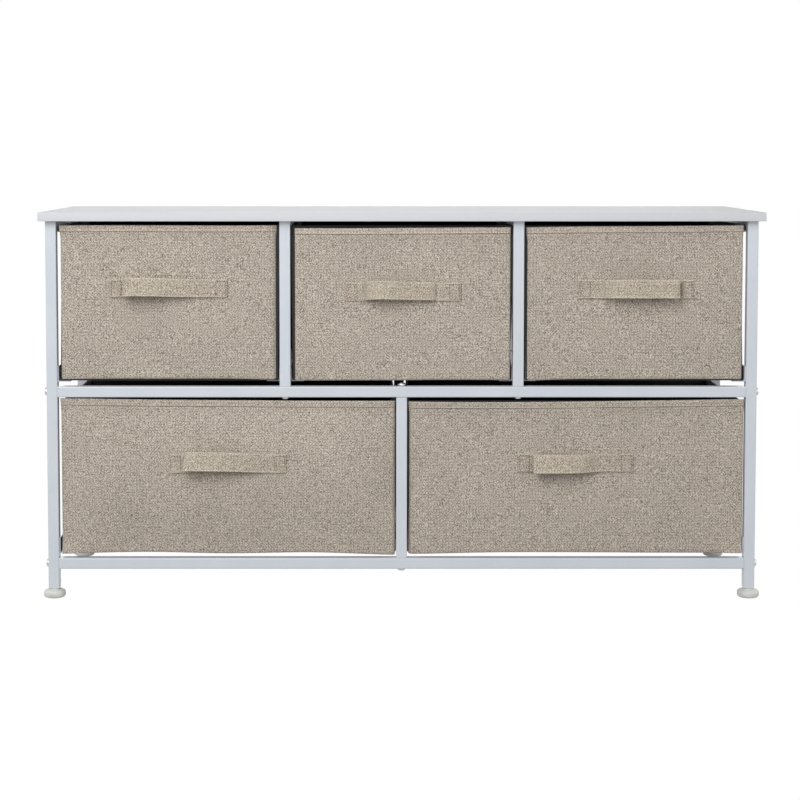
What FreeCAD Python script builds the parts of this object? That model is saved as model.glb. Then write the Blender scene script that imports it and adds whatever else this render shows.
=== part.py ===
import FreeCAD, Part
import os
from math import cos, pi, sin, tan

# Fabric drawer dresser. Millimetres, +Z up, front towards -Y.
# The origin is on the floor, under the middle of the top board.
# A bolted frame of square steel tube carries a laminated board. Five sewn bins slide on folded
# steel runners inside the frame, three above and two below, and it stands on levelling feet.

# ---------------------------------------------------------------- driving dimensions

# top board
board_width = 994.0
board_depth = 300.0
board_thickness = 12.0
board_side_overhang = 8.0
board_front_overhang = 11.0
board_edge_chamfer = 0.8

# square tube
tube_side = 15.0
tube_wall = 0.8

# heights, from the floor upwards
foot_height = 13.0
bottom_rail_rise = 27.0
lower_bay_height = 224.0
upper_bay_height = 228.0

# button-head bolts and the nuts in the tube ends
bolt_diameter = 6.0
bolt_clearance = 0.4
bolt_head_diameter = 11.5
bolt_head_height = 3.3
bolt_crown_diameter = 6.5
bolt_flange_diameter = 15.0
bolt_flange_height = 1.4
bolt_head_room = 1.3
nut_depth = 11.0
bolt_end_gap = 1.5
thread_gap = 0.05

# screws that hold the board
screw_diameter = 4.0
screw_head_diameter = 8.0
screw_head_height = 2.4
screw_crown_diameter = 5.0
screw_cover = 3.0
screw_inset = 45.0

# runners, folded from sheet
sheet_gauge = 1.2
sheet_bend_radius = 1.0
shelf_width = 17.0
angle_height = 22.0
angle_end_gap = 5.0
hat_height = 19.0

# levelling feet
pad_diameter = 30.0
pad_dome_height = 2.7
pad_gap = 0.3
stud_diameter = 8.0
stud_reach = 12.0
plug_depth = 14.0

# Turned pieces are drawn with flat sides. Bolts, screws and their holes repeat so often that they
# get few of them.
fastener_sides = 12
foot_sides = 24

# sewn bins
front_recess = 4.0
front_thickness = 4.0
front_side_gap = 1.3
front_edge_chamfer = 1.2
bin_side_gap = 1.8
bin_back_gap = 6.0
bin_slide_gap = 0.2
bin_wall = 2.0
bin_step_down = 1.0
upper_headroom = 5.6
lower_headroom = 4.6
hem_height = 14.0
hem_thickness = 0.8
base_board_thickness = 2.5
base_board_gap = 1.0

# strap handles
strap_length = 159.0
strap_width = 26.0
strap_thickness = 2.4
strap_tab = 16.0
strap_bulge = 15.0
strap_bend_radius = 6.0
strap_rise = 125.5

# Where each strap's slack has gathered: the stretch that stands out furthest, as shares of the
# loose length between its two sewn ends, from the left.
upper_slack = {"left": (0.10, 0.30), "middle": (0.25, 0.55), "right": (0.60, 0.90)}
lower_slack = {"left": (0.10, 0.35), "right": (0.10, 0.40)}

# ---------------------------------------------------------------- sizes that follow

frame_width = board_width - 2 * board_side_overhang
frame_depth = board_depth - 2 * board_front_overhang
tube_bore = tube_side - 2 * tube_wall
tube_corner_radius = 2 * tube_wall
leg_x = (frame_width - tube_side) / 2
leg_y = (frame_depth - tube_side) / 2
rail_length = frame_width - 2 * tube_side
crossbar_length = frame_depth - 2 * tube_side

bottom_rail_z = foot_height + bottom_rail_rise
lower_bay_z = bottom_rail_z + tube_side
middle_rail_z = lower_bay_z + lower_bay_height
upper_bay_z = middle_rail_z + tube_side
board_z = upper_bay_z + upper_bay_height
crossbar_z = board_z - tube_side
shelf_lift = bolt_flange_height + bolt_head_height + bolt_head_room

RIGHT, REAR, UP = FreeCAD.Vector(1, 0, 0), FreeCAD.Vector(0, 1, 0), FreeCAD.Vector(0, 0, 1)
SIDES = {"left": -1, "right": 1}
ENDS = {"front": -1, "rear": 1}


def point(x, y, z):
    return FreeCAD.Vector(x, y, z)


def bay_width(count):
    """Clear width of each of count equal bays between the legs, with a tube between neighbours."""
    return (rail_length - (count - 1) * tube_side) / count


def bay_centres(count):
    pitch = bay_width(count) + tube_side
    return [(i - (count - 1) / 2) * pitch for i in range(count)]


def divider_centres(count):
    pitch = bay_width(count) + tube_side
    return [(i - count / 2) * pitch for i in range(1, count)]


upper_dividers = divider_centres(len(upper_slack))
lower_dividers = divider_centres(len(lower_slack))

# ---------------------------------------------------------------- shared shapes


def laid(shape, direction, start):
    """The shape turned so that its own +Z points along direction, and moved to start."""
    placed = shape.copy()
    placed.Placement = FreeCAD.Placement(start, FreeCAD.Rotation(UP, direction))
    return placed


def flat_face(*corners):
    return Part.Face(Part.makePolygon([*corners, corners[0]]))


def turned(sides, *outline):
    """Turned piece about Z, drawn with flat sides. The outline is (diameter, z), from its top down."""
    turns = [2 * pi * i / sides for i in range(sides)]
    rings = [[point(d / 2 * cos(turn), d / 2 * sin(turn), z) for turn in turns] for d, z in outline]
    faces = [flat_face(*rings[0]), flat_face(*rings[-1])]
    for above, below in zip(rings, rings[1:]):
        faces += [flat_face(above[i - 1], above[i], below[i], below[i - 1]) for i in range(sides)]
    return Part.makeSolid(Part.makeShell(faces)).removeSplitter()


def square_bar(side, length):
    return Part.makeBox(side, side, length, point(-side / 2, -side / 2, 0))


def bored_block(length, sides, bore_diameter):
    """Square block that fills a tube's end, bored along its length."""
    return square_bar(tube_bore, length).cut(turned(sides, (bore_diameter, length), (bore_diameter, 0)))


def square_tube(length):
    """Tube along +Z from the origin, with rounded outer corners."""
    bar = square_bar(tube_side, length)
    long_edges = [e for e in bar.Edges if abs(e.tangentAt(e.FirstParameter).z) > 0.9]
    return bar.makeFillet(tube_corner_radius, long_edges).cut(square_bar(tube_bore, length))


def drilled(tube, hole_diameter, direction, *entries):
    """The tube with a hole straight through it from each entry point on its outside."""
    drill = turned(fastener_sides, (hole_diameter, tube_side), (hole_diameter, 0))
    for entry in entries:
        tube = tube.cut(laid(drill, direction, entry))
    return tube


def bend(before, corner, after, radius):
    """Start, middle and end of the arc that rounds a corner, each with the direction of travel."""
    inward, outward = (corner - before).normalize(), (after - corner).normalize()
    half_turn = inward.getAngle(outward) / 2
    reach = radius * tan(half_turn)
    dip = radius / cos(half_turn) - radius
    return [
        (corner - inward * reach, inward),
        (corner + (outward - inward).normalize() * dip, (inward + outward).normalize()),
        (corner + outward * reach, outward),
    ]


def bent_strip(corners, thickness, bend_radius, sweep):
    """Strip of even thickness bent round the corners of its middle line, and extruded by sweep.

    The bend radius is that of the inside of each bend."""
    across = sweep / sweep.Length
    start = (corners[0], (corners[1] - corners[0]).normalize())
    finish = (corners[-1], (corners[-1] - corners[-2]).normalize())
    triples = zip(corners, corners[1:], corners[2:])
    bends = [bend(*triple, bend_radius + thickness / 2) for triple in triples]
    skins = [
        [[spot + across.cross(ahead) * offset for spot, ahead in stop] for stop in [[start], *bends, [finish]]]
        for offset in (-thickness / 2, thickness / 2)
    ]
    edges = [Part.LineSegment(skins[0][i][0], skins[1][i][0]) for i in (0, -1)]
    for skin in skins:
        edges += [Part.Arc(*arc) for arc in skin[1:-1]]
        edges += [Part.LineSegment(last[-1], following[0]) for last, following in zip(skin, skin[1:])]
    outline = Part.Wire(Part.__sortEdges__([edge.toShape() for edge in edges]))
    return Part.Face(outline).extrude(sweep)


def export(name, *solids):
    shape = solids[0] if len(solids) == 1 else Part.makeCompound(list(solids))
    shape.exportStep(f"parts/{name}.step")


# ---------------------------------------------------------------- bolts, nuts and screws

bolt_hole = bolt_diameter + bolt_clearance
bolt_length = tube_side + nut_depth - bolt_end_gap
screw_bite = board_thickness - screw_cover
screw_length = tube_side + screw_bite


def bolt(start, direction):
    """Button-head bolt whose head seats at start and whose shank runs along direction."""
    blank = turned(
        fastener_sides,
        (bolt_diameter, bolt_length),
        (bolt_diameter, 0),
        (bolt_head_diameter, 0),
        (bolt_crown_diameter, -bolt_head_height),
    )
    return laid(blank, direction, start)


def flanged_bolt(start, direction):
    """The same bolt with a flange under its head."""
    blank = turned(
        fastener_sides,
        (bolt_diameter, bolt_length - bolt_flange_height),
        (bolt_diameter, 0),
        (bolt_flange_diameter, 0),
        (bolt_flange_diameter, -bolt_flange_height),
        (bolt_head_diameter, -bolt_flange_height),
        (bolt_crown_diameter, -bolt_flange_height - bolt_head_height),
    )
    return laid(blank, direction, start)


def nut(start, direction):
    """Threaded block pressed into a tube's end at start."""
    thread = bolt_diameter + 2 * thread_gap
    return laid(bored_block(nut_depth, fastener_sides, thread), direction, start)


def screw(start):
    """Pan-head screw driven upwards from start, where its head seats."""
    blank = turned(
        fastener_sides,
        (screw_diameter, screw_length),
        (screw_diameter, 0),
        (screw_head_diameter, 0),
        (screw_crown_diameter, -screw_head_height),
    )
    return blank.translated(start)


# ---------------------------------------------------------------- frame of square tube

rail_levels = {"bottom": bottom_rail_z, "middle": middle_rail_z}


def make_legs_and_side_bolts():
    """Four legs, each drilled across for one bolt into each rail that meets it."""
    bolts, nuts = [], []
    for side_name, side in SIDES.items():
        inward = RIGHT * -side
        for end_name, end in ENDS.items():
            seats = [
                point(side * frame_width / 2, end * leg_y, rail_z + tube_side / 2)
                for rail_z in rail_levels.values()
            ]
            length = board_z - foot_height
            leg = laid(square_tube(length), UP, point(side * leg_x, end * leg_y, foot_height))
            export(f"{side_name}_{end_name}_leg", drilled(leg, bolt_hole, inward, *seats))
            bolts += [bolt(seat, inward) for seat in seats]
            nuts += [nut(seat + inward * tube_side, inward) for seat in seats]
    export("side_frame_bolts", *bolts)
    export("rail_end_nuts", *nuts)


def make_rails():
    """Front and rear rails between the legs, drilled upright for the divider bolts."""
    bolted_at = {"bottom": lower_dividers, "middle": [*upper_dividers, *lower_dividers]}
    for level, rail_z in rail_levels.items():
        for end_name, end in ENDS.items():
            start = point(-rail_length / 2, end * leg_y, rail_z + tube_side / 2)
            entries = [point(x, end * leg_y, rail_z) for x in bolted_at[level]]
            rail = drilled(laid(square_tube(rail_length), RIGHT, start), bolt_hole, UP, *entries)
            export(f"{end_name}_{level}_rail", rail)


def make_dividers():
    """Upper posts bolted up through the middle rails, and lower posts bolted at both ends."""
    bolts, nuts = [], []
    for end_name, end in ENDS.items():
        for side_name, x in zip(SIDES, upper_dividers):
            foot = point(x, end * leg_y, upper_bay_z)
            post = laid(square_tube(upper_bay_height), UP, foot)
            export(f"upper_{side_name}_{end_name}_divider", post)
            bolts.append(bolt(foot - UP * tube_side, UP))
            nuts.append(nut(foot, UP))
        for x in lower_dividers:
            foot, head = point(x, end * leg_y, lower_bay_z), point(x, end * leg_y, middle_rail_z)
            export(f"lower_{end_name}_divider", laid(square_tube(lower_bay_height), UP, foot))
            bolts += [bolt(foot - UP * tube_side, UP), flanged_bolt(head + UP * tube_side, -UP)]
            nuts += [nut(foot, UP), nut(head, -UP)]
    export("divider_bolts", *bolts)
    export("divider_end_nuts", *nuts)


# ---------------------------------------------------------------- top board and its crossbars


def make_board_and_crossbars():
    """Laminated board on four tubes from front to rear: two screws in each side tube, one in each
    divider's tube."""
    screw_reach = crossbar_length / 2 - screw_inset
    screws_along = {
        "left_top_crossbar": (-leg_x, [-screw_reach, screw_reach]),
        "upper_left_divider_top_bar": (upper_dividers[0], [0.0]),
        "upper_right_divider_top_bar": (upper_dividers[-1], [0.0]),
        "right_top_crossbar": (leg_x, [-screw_reach, screw_reach]),
    }
    corner = point(-board_width / 2, -board_depth / 2, board_z)
    board = Part.makeBox(board_width, board_depth, board_thickness, corner)
    board = board.makeChamfer(board_edge_chamfer, board.Edges)
    pilot_diameter = screw_diameter + 2 * thread_gap
    pilot = turned(fastener_sides, (pilot_diameter, screw_bite), (pilot_diameter, 0))
    screws = []
    for name, (x, ys) in screws_along.items():
        seats = [point(x, y, crossbar_z) for y in ys]
        start = point(x, -crossbar_length / 2, crossbar_z + tube_side / 2)
        tube = laid(square_tube(crossbar_length), REAR, start)
        export(name, drilled(tube, screw_diameter + bolt_clearance, UP, *seats))
        for seat in seats:
            board = board.cut(pilot.translated(seat + UP * tube_side))
            screws.append(screw(seat))
    export("top_board", board)
    export("top_board_screws", *screws)


# ---------------------------------------------------------------- runners

row_shelves = {"upper": upper_bay_z + shelf_lift, "lower": lower_bay_z + shelf_lift}


def folded_runner(length, *corners):
    """Sheet folded through (x, z) corners of its middle line, centred on Y."""
    line = [point(x, -length / 2, z) for x, z in corners]
    return bent_strip(line, sheet_gauge, sheet_bend_radius, REAR * length)


def make_angle_runners():
    """Angles welded along the inner faces of the legs: an upstand and a shelf that reaches inwards."""
    skin = sheet_gauge / 2
    length = frame_depth - 2 * angle_end_gap
    for side_name, side in SIDES.items():
        angle = folded_runner(length, (-side * skin, angle_height), (-side * skin, skin), (-side * shelf_width, skin))
        for row_name, shelf_z in row_shelves.items():
            placed = angle.translated(point(side * rail_length / 2, 0, shelf_z))
            export(f"{side_name}_{row_name}_runner", placed)


def make_hat_runners():
    """Hat sections welded between front and rear posts, as wide as the post is between their
    upright walls, with a shelf for the bin on each side."""
    skin = sheet_gauge / 2
    wall_x = tube_side / 2 + skin
    shelf_x = tube_side / 2 + sheet_gauge + shelf_width
    top_z = hat_height - skin
    half = [(shelf_x, skin), (wall_x, skin), (wall_x, top_z)]
    hat = folded_runner(crossbar_length, *half, *[(-x, z) for x, z in reversed(half)])
    for side_name, x in zip(SIDES, upper_dividers):
        placed = hat.translated(point(x, 0, row_shelves["upper"]))
        export(f"upper_{side_name}_center_runner", placed)
    for x in lower_dividers:
        export("lower_center_runner", hat.translated(point(x, 0, row_shelves["lower"])))


# ---------------------------------------------------------------- levelling feet


def make_feet():
    """Round pads, each moulded on a stud that is threaded into the plug in its leg."""
    pad_top = foot_height - pad_gap
    foot = turned(
        foot_sides,
        (stud_diameter, foot_height + stud_reach),
        (stud_diameter, pad_top),
        (pad_diameter, pad_top - pad_dome_height),
        (pad_diameter, 0),
    )
    plug = bored_block(plug_depth, foot_sides, stud_diameter + 2 * thread_gap)
    plugs = []
    for side_name, side in SIDES.items():
        for end_name, end in ENDS.items():
            axis = point(side * leg_x, end * leg_y, 0)
            export(f"{side_name}_{end_name}_foot", foot.translated(axis))
            plugs.append(plug.translated(axis + UP * foot_height))
    export("leg_plugs", *plugs)


# ---------------------------------------------------------------- sewn bins and their handles

bin_depth = frame_depth - front_recess - bin_back_gap
bin_base_lift = sheet_gauge + bin_slide_gap
front_y = front_recess - frame_depth / 2


def bin_front(width, height):
    """Cloth drawn over a stiff card, standing on z = 0 with its face on y = 0."""
    panel = Part.makeBox(width, front_thickness, height, point(-width / 2, 0, 0))
    face_edges = [e for e in panel.Edges if e.BoundBox.YMax < front_thickness / 2]
    return panel.makeChamfer(front_edge_chamfer, face_edges)


def bin_box(width, height):
    """Open box of non-woven cloth behind the front, with a folded hem round its sides and back."""
    depth = bin_depth - front_thickness
    corner = point(-width / 2, front_thickness, 0)
    walls = Part.makeBox(width, depth, height, corner)
    hem_corner = corner + point(-hem_thickness, 0, height - hem_height)
    hem = Part.makeBox(width + 2 * hem_thickness, depth + hem_thickness, hem_height, hem_corner)
    inside = Part.makeBox(
        width - 2 * bin_wall, depth - 2 * bin_wall, height, corner + point(bin_wall, bin_wall, bin_wall)
    )
    return walls.fuse(hem).cut(inside).removeSplitter()


def base_board(width):
    """Loose board that keeps the bottom of the bin flat."""
    inset = bin_wall + base_board_gap
    corner = point(-width / 2 + inset, front_thickness + inset, bin_wall)
    depth = bin_depth - front_thickness - 2 * inset
    return Part.makeBox(width - 2 * inset, depth, base_board_thickness, corner)


def strap_handle(crest_from, crest_to):
    """Strap sewn flat on y = 0 at both ends, whose loose middle stands out between two shares."""
    skin, bottom = strap_thickness / 2, -strap_width / 2
    loose = strap_length - 2 * strap_tab
    crest_y = skin - strap_bulge
    line = [
        point(-strap_length / 2, -skin, bottom),
        point(-loose / 2, -skin, bottom),
        point(-loose / 2 + crest_from * loose, crest_y, bottom),
        point(-loose / 2 + crest_to * loose, crest_y, bottom),
        point(loose / 2, -skin, bottom),
        point(strap_length / 2, -skin, bottom),
    ]
    return bent_strip(line, strap_thickness, strap_bend_radius, UP * strap_width)


def make_drawers(row_name, clear_height, slack):
    """A row of bins, each a sewn box, its front, its base board and its handle."""
    clear_width = bay_width(len(slack))
    height = clear_height - shelf_lift - bin_base_lift
    box_width = clear_width - 2 * (sheet_gauge + bin_side_gap)
    front_width = clear_width - 2 * (sheet_gauge + front_side_gap)
    for middle_x, (place, crest) in zip(bay_centres(len(slack)), slack.items()):
        seat = point(middle_x, front_y, row_shelves[row_name] + bin_base_lift)
        drawer = f"{row_name}_{place}_drawer"
        export(f"{drawer}_front", bin_front(front_width, height).translated(seat))
        export(f"{drawer}_box", bin_box(box_width, height - bin_step_down).translated(seat))
        export(f"{drawer}_base_board", base_board(box_width).translated(seat))
        handle = strap_handle(*crest).translated(seat + UP * strap_rise)
        export(f"{drawer}_handle", handle)


os.makedirs("parts", exist_ok=True)
make_legs_and_side_bolts()
make_rails()
make_dividers()
make_board_and_crossbars()
make_angle_runners()
make_hat_runners()
make_feet()
make_drawers("upper", upper_bay_height - upper_headroom, upper_slack)
make_drawers("lower", lower_bay_height - lower_headroom, lower_slack)
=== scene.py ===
import math

import bmesh
import bpy
from mathutils import Matrix, Vector, noise


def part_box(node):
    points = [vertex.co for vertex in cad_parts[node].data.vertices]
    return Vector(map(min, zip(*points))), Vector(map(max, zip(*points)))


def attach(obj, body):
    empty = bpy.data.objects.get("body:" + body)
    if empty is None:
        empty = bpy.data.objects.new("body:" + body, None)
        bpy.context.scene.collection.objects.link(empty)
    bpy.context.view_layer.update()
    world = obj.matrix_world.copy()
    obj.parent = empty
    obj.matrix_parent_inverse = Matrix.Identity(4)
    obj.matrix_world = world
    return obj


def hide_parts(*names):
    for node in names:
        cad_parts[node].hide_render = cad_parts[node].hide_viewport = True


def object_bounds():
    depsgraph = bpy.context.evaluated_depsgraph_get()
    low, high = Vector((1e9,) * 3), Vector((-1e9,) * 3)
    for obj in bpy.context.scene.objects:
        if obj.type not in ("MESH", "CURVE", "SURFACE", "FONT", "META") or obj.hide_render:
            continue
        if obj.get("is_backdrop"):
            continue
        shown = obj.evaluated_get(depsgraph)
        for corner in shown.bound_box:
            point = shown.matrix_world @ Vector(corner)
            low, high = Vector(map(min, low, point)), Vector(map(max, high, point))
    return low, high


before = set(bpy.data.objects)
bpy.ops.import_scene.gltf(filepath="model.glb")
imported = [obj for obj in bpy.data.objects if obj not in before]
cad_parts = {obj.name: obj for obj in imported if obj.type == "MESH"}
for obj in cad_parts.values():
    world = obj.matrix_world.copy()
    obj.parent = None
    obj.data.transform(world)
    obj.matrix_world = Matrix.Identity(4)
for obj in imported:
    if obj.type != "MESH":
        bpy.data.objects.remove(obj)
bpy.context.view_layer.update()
mm = 0.001

# ================================================================== camera
# A long lens a little above the board, left of the middle and tilted down by a few degrees.
# The shift lets it look almost level, so the legs stay nearly upright in a square frame.

bpy.ops.object.select_all(action="DESELECT")
camera_place = (-0.0405, -2.6363, 0.6139)
camera_tilt_down = math.radians(3.455)
bpy.ops.object.camera_add(
    location=camera_place, rotation=(math.radians(90) - camera_tilt_down, 0, 0)
)
camera = bpy.context.object
camera.data.sensor_width = 36
camera.data.lens = 82.13
camera.data.shift_x = 0.0347
camera.data.shift_y = -0.17
bpy.context.scene.camera = camera

# ================================================================== studio
# A pale floor without an edge, a pale surround, and large soft boxes in front, at both sides and
# behind. What the camera, a gloss or a clear piece sees of floor and surround is plain white.


def linear(code):
    """A colour written as sRGB hex, as the linear values that a shader takes."""
    parts = [int(code[i : i + 2], 16) / 255 for i in (1, 3, 5)]
    return [p / 12.92 if p <= 0.04045 else ((p + 0.055) / 1.055) ** 2.4 for p in parts] + [1.0]


def add_node(tree, kind, inputs=(), **settings):
    """A new node with its settings, and its inputs set to values or linked to outputs.

    Given a node, an input is linked to the first output of that node.
    """
    node = tree.nodes.new("ShaderNode" + kind)
    for name, value in settings.items():
        setattr(node, name, value)
    for socket, value in dict(inputs).items():
        if isinstance(value, bpy.types.Node):
            value = value.outputs[0]
        if isinstance(value, bpy.types.NodeSocket):
            tree.links.new(value, node.inputs[socket])
        else:
            node.inputs[socket].default_value = value
    return node


def new_material(name):
    """An empty material, its node tree, and the place of each point in its piece's own space."""
    material = bpy.data.materials.new(name)
    material.use_nodes = True
    tree = material.node_tree
    tree.nodes.clear()
    return material, tree, add_node(tree, "TexCoord").outputs["Object"]


def seen_directly(tree):
    """1 for a ray from the camera, a gloss or a clear piece, and 0 for one that carries light."""
    path = add_node(tree, "LightPath")
    seen = path.outputs["Is Camera Ray"]
    for ray in ("Is Glossy Ray", "Is Transmission Ray"):
        either = add_node(tree, "Math", {0: seen, 1: path.outputs[ray]}, operation="MAXIMUM")
        seen = either
    return seen


surround_light = 0.22
surround = bpy.data.worlds.new("surround")
surround.use_nodes = True
surround.node_tree.nodes.clear()
bpy.context.scene.world = surround
tree = surround.node_tree
strength = add_node(
    tree, "MapRange", {"Value": seen_directly(tree), "To Min": surround_light, "To Max": 1.0}
)
glow = add_node(tree, "Background", {"Color": linear("#FFFFFF"), "Strength": strength})
add_node(tree, "OutputWorld", {"Surface": glow})

floor_sheet, tree, _ = new_material("matt_white_floor_sheet")
diffuse = add_node(tree, "BsdfDiffuse", {"Color": linear("#B4B4B4")})
glow = add_node(tree, "Emission", {"Color": linear("#FFFFFF"), "Strength": 1.0})
both = add_node(tree, "MixShader", {0: seen_directly(tree), 1: diffuse, 2: glow})
add_node(tree, "OutputMaterial", {"Surface": both})

floor_size, floor_below = 60, 0.1 * mm
bpy.ops.mesh.primitive_plane_add(size=floor_size, location=(0, 0, -floor_below))
floor = bpy.context.object
floor.name = "floor"
floor.data.materials.append(floor_sheet)
floor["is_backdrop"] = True

# Each soft box: its place, its width and height in metres, and its power in watts.
soft_boxes = {
    "front": ((-0.8, -2.1, 1.75), (1.2, 1.9), 46.5),
    "front_fill": ((1.5, -2.3, 1.0), (1.6, 1.6), 13.0),
    "left": ((-2.8, 0.2, 0.8), (1.6, 1.2), 14.0),
    "right": ((2.8, 0.2, 0.8), (1.6, 1.2), 14.0),
    "rear": ((0.0, 2.8, 1.1), (2.2, 1.2), 22.0),
}
dresser_middle = Vector((0, 0, 0.27))
for name, (place, size, watts) in soft_boxes.items():
    turn = (dresser_middle - Vector(place)).to_track_quat("-Z", "Y").to_euler()
    bpy.ops.object.light_add(type="AREA", location=place, rotation=turn)
    soft_box = bpy.context.object
    soft_box.name = f"soft_box_{name}"
    soft_box.data.shape = "RECTANGLE"
    soft_box.data.size, soft_box.data.size_y = size
    soft_box.data.energy = watts
    soft_box.visible_camera = False

bpy.context.scene.view_settings.view_transform = "Standard"

# ================================================================== top board
# Particle board faced with white melamine paper, with a PVC band glued round its four edges.
# It lies on the top tubes and is screwed to them from below.

band_thickness = 1.0 * mm
joint_line = 0.15 * mm
board_edge_radius = 0.5 * mm
# Two places closer than this are one. A normal with more than this along an axis faces that way.
same_place, facing = 0.001 * mm, 0.9


def pick_faces(test):
    """Selects, in edit mode, the faces whose centre and normal pass the test, and no others."""
    bpy.ops.mesh.select_mode(type="FACE")
    bpy.ops.mesh.select_all(action="DESELECT")
    shape = bmesh.from_edit_mesh(bpy.context.object.data)
    shape.normal_update()
    for face in shape.faces:
        face.select_set(bool(test(face.calc_center_median(), face.normal)))
    shape.select_flush_mode()
    bmesh.update_edit_mesh(bpy.context.object.data)


def pick_edges(test):
    """Selects, in edit mode, the edges whose two ends pass the test, and no others."""
    bpy.ops.mesh.select_mode(type="EDGE")
    bpy.ops.mesh.select_all(action="DESELECT")
    shape = bmesh.from_edit_mesh(bpy.context.object.data)
    for edge in shape.edges:
        edge.select_set(bool(test(edge.verts[0].co, edge.verts[1].co)))
    shape.select_flush(False)
    bmesh.update_edit_mesh(bpy.context.object.data)


def apply_place():
    """Puts the place, turn and size of what is selected into its mesh."""
    bpy.ops.object.transform_apply(location=True, rotation=True, scale=True)


def start_block(low, high):
    """A block from its lowest to its highest corner, left in edit mode."""
    bpy.ops.mesh.primitive_cube_add(size=1, location=(low + high) / 2, scale=high - low)
    apply_place()
    bpy.ops.object.mode_set(mode="EDIT")


def left_edit():
    """Leaves edit mode, and gives the object that was being shaped."""
    bpy.ops.object.mode_set(mode="OBJECT")
    return bpy.context.object


def finished(name, body, nodes=(), smooth_angle=35):
    """Applies a piece's modifiers and its place, and ties it to its body and its CAD nodes."""
    piece = bpy.context.object
    for modifier in list(piece.modifiers):
        bpy.ops.object.modifier_apply(modifier=modifier.name)
    apply_place()
    bpy.ops.object.shade_smooth_by_angle(angle=math.radians(smooth_angle))
    piece.name = name
    piece.data.name = name
    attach(piece, body)
    if nodes:
        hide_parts(*nodes)
    return piece


def box_of(node):
    """The lowest and highest corner of a CAD node."""
    return [Vector(corner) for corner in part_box(node)]


def surfaced(tree, mottling, shades, spread, relief, strength, depth, look):
    """Finishes a material with its colour, its relief and the rest of its look.

    The colour runs between two shades as the mottling goes from one end of its spread to the other.
    """
    tone = add_node(tree, "ValToRGB", {"Fac": mottling})
    for stop, position, shade in zip(tone.color_ramp.elements, spread, shades):
        stop.position, stop.color = position, linear(shade)
    surface = add_node(tree, "Bump", {"Height": relief, "Strength": strength, "Distance": depth})
    shader = add_node(tree, "BsdfPrincipled", {"Base Color": tone, "Normal": surface, **look})
    add_node(tree, "OutputMaterial", {"Surface": shader})


# Melamine paper under a hard resin: white, faintly streaked along the board like a pale grain, and
# pressed with a fine satin texture that blurs what it reflects.
melamine, tree, place = new_material("white_melamine_satin")
grain_length, grain_width, satin_size = 90 * mm, 2.5 * mm, 0.8 * mm
stretched = add_node(
    tree, "Mapping", {"Vector": place, "Scale": (grain_width / grain_length, 1, 1)}
)
grain = add_node(
    tree, "TexNoise", {"Vector": stretched, "Scale": 1 / grain_width, "Detail": 4, "Roughness": 0.6}
)
satin = add_node(tree, "TexNoise", {"Vector": place, "Scale": 1 / satin_size, "Detail": 3})
surfaced(
    tree, grain, ("#CFD0D3", "#D5D6D9"), (0.3, 0.7), satin, 0.15, 0.03 * mm,
    {"Roughness": 0.55, "Specular IOR Level": 0.1},
)

# PVC band: a slightly brighter and bluer white than the melamine, buffed smoother once trimmed.
edge_band, tree, place = new_material("white_pvc_edge_band")
scratch_width, scratch_stretch = 1.5 * mm, 0.05
buffed = add_node(
    tree, "Mapping", {"Vector": place, "Scale": (scratch_stretch, scratch_stretch, 1)}
)
scratches = add_node(tree, "TexNoise", {"Vector": buffed, "Scale": 1 / scratch_width, "Detail": 3})
surfaced(
    tree, scratches, ("#D6D7DC", "#DBDCE0"), (0.0, 1.0), scratches, 0.1, 0.03 * mm,
    {"Roughness": 0.48, "Specular IOR Level": 0.1},
)

board_low, board_high = box_of("top_board")
start_block(board_low, board_high)
pick_faces(lambda at, normal: abs(normal.z) > facing)
bpy.ops.mesh.inset(thickness=band_thickness, use_individual=True)
for depth in (-joint_line, joint_line):
    bpy.ops.mesh.inset(thickness=joint_line, depth=depth, use_individual=True)


def on_board_outline(point):
    """Whether a point is on at least two of the board's outer sides."""
    sides = [
        min(abs(point[i] - board_low[i]), abs(point[i] - board_high[i])) < same_place
        for i in range(3)
    ]
    return sum(sides) >= 2


pick_edges(lambda a, b: on_board_outline(a) and on_board_outline(b))
bpy.ops.mesh.bevel(offset=board_edge_radius, segments=3, affect="EDGES")
board = left_edit()
board.data.materials.append(melamine)
board.data.materials.append(edge_band)
for face in board.data.polygons:
    inside_band = [
        board_low[i] + band_thickness < face.center[i] < board_high[i] - band_thickness
        for i in (0, 1)
    ]
    face.material_index = 0 if all(inside_band) else 1
finished("top_board_laminated", "frame", ["top_board"])

# ================================================================== tubes and runners
# Square steel tube for the frame and folded steel sheet for the runners, all sprayed with white
# powder and baked. The rails and dividers butt against each other and are bolted, not welded.

# Powder coat: thick, even and slightly bluish, with the orange peel that baked powder leaves.
powder_coat, tree, place = new_material("white_powder_coat_gloss")
cloud_size, peel_size = 60 * mm, 1.6 * mm
clouds = add_node(tree, "TexNoise", {"Vector": place, "Scale": 1 / cloud_size, "Detail": 2})
peel = add_node(tree, "TexNoise", {"Vector": place, "Scale": 1 / peel_size, "Detail": 2})
surfaced(
    tree, clouds, ("#D0D6DE", "#D6DBE2"), (0.3, 0.7), peel, 0.25, 0.06 * mm, {"Roughness": 0.3}
)


def coat(name, material):
    """Gives a CAD node one finish all over."""
    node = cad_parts[name]
    for place_in_list in range(len(node.data.materials)):
        node.data.materials[place_in_list] = material


steelwork = ("_leg", "_rail", "_divider", "_crossbar", "_top_bar", "_runner")
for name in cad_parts:
    if name.endswith(steelwork):
        coat(name, powder_coat)

# ================================================================== bolts, nuts and screws
# Zinc plated steel: button-head bolts with a hexagon socket hold the frame, pan-head screws with a
# cross recess hold the board, and nuts are pressed into the ends of the rails and dividers.

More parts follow.
